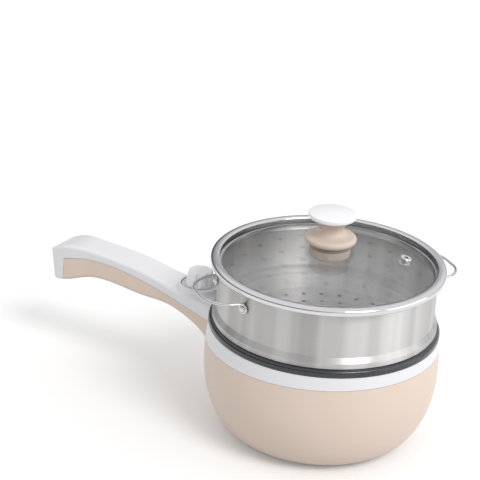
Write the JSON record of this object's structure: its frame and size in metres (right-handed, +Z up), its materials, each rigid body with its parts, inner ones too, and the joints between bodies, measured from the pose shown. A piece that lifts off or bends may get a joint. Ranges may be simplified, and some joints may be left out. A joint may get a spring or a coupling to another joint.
{
  "type": "electric hot pot",
  "caption": "Round electric hot pot with a long curved handle carrying a rotary dial, a steamer basket with wire loop handles on its rim, and a domed glass lid with a waisted knob.",
  "frame": {"origin": "on the pot's axis, in the plane of the surface it stands on", "axes": "+Z up along the pot's axis, the long handle points along -X"},
  "size_m": [0.3823, 0.2102, 0.2057],
  "materials": {
    "shell_beige": "satin",
    "frame_white": "satin",
    "pot_coating": "satin dark non-stick coat on aluminium",
    "foot_rubber": "matte",
    "base_white": "matte",
    "steel_screws": "plain",
    "element_steel": "heat-darkened",
    "plate_aluminium": "cast",
    "thermostat_body": "matte",
    "fuse_body": "matte",
    "clip_steel": "plain",
    "shield_aluminium": "bright",
    "switch_black": "matte",
    "nut_brass": "plain",
    "dial_ring_grey": "satin",
    "pins_brass": "nickel-plated",
    "inlet_dark": "matte",
    "wire_insulation": "matte",
    "dial_white": "satin",
    "shaft_steel": "turned",
    "steamer_steel": "polished",
    "wire_steel": "polished",
    "lid_glass": "clear",
    "band_steel": "polished",
    "knob_beige": "satin",
    "cap_white": "gloss",
    "washer_beige": "satin"
  },
  "bodies": {
    "pot": {"outer_shell": "shell_beige", "top_frame": "frame_white", "inner_pot": "pot_coating", "foot_ring": "foot_rubber", "base_cover": "base_white", "base_screws": "steel_screws", "heating_element": "element_steel", "heater_plate": "plate_aluminium", "thermostat": "thermostat_body", "thermal_fuse": "fuse_body", "fuse_clip": "clip_steel", "heat_shield": "shield_aluminium", "rotary_switch": "switch_black", "switch_nut": "nut_brass", "dial_ring": "dial_ring_grey", "inlet_pins": "pins_brass", "inlet_housing": "inlet_dark", "handle_screws": "steel_screws", "supply_wires": "wire_insulation", "heater_wires": "wire_insulation"},
    "dial": {"control_knob": "dial_white", "switch_shaft": "shaft_steel"},
    "steamer": {"steamer_basket": "steamer_steel", "steamer_floor": "steamer_steel", "steamer_handle_left": "wire_steel", "steamer_handle_right": "wire_steel", "steamer_rivets": "wire_steel"},
    "lid": {"lid_glass": "lid_glass", "vent_grommet": "band_steel", "lid_rim_band": "band_steel", "lid_knob": "knob_beige", "lid_knob_cap": "cap_white", "lid_knob_washer": "washer_beige", "lid_knob_screw": "steel_screws"}
  },
  "joints": [
    {"name": "dial_turn", "type": "hinge", "parent": "pot", "child": "dial", "pos_m": [-0.127, 0, 0.102], "axis": [0, 0, -1], "range_deg": [0, 180]},
    {"name": "steamer_lift", "type": "slide", "parent": "pot", "child": "steamer", "axis": [0, 0, 1], "range_m": [0, 0.116]},
    {"name": "lid_lift", "type": "slide", "parent": "steamer", "child": "lid", "axis": [0, 0, 1], "range_m": [0, 0.072]}
  ]
}
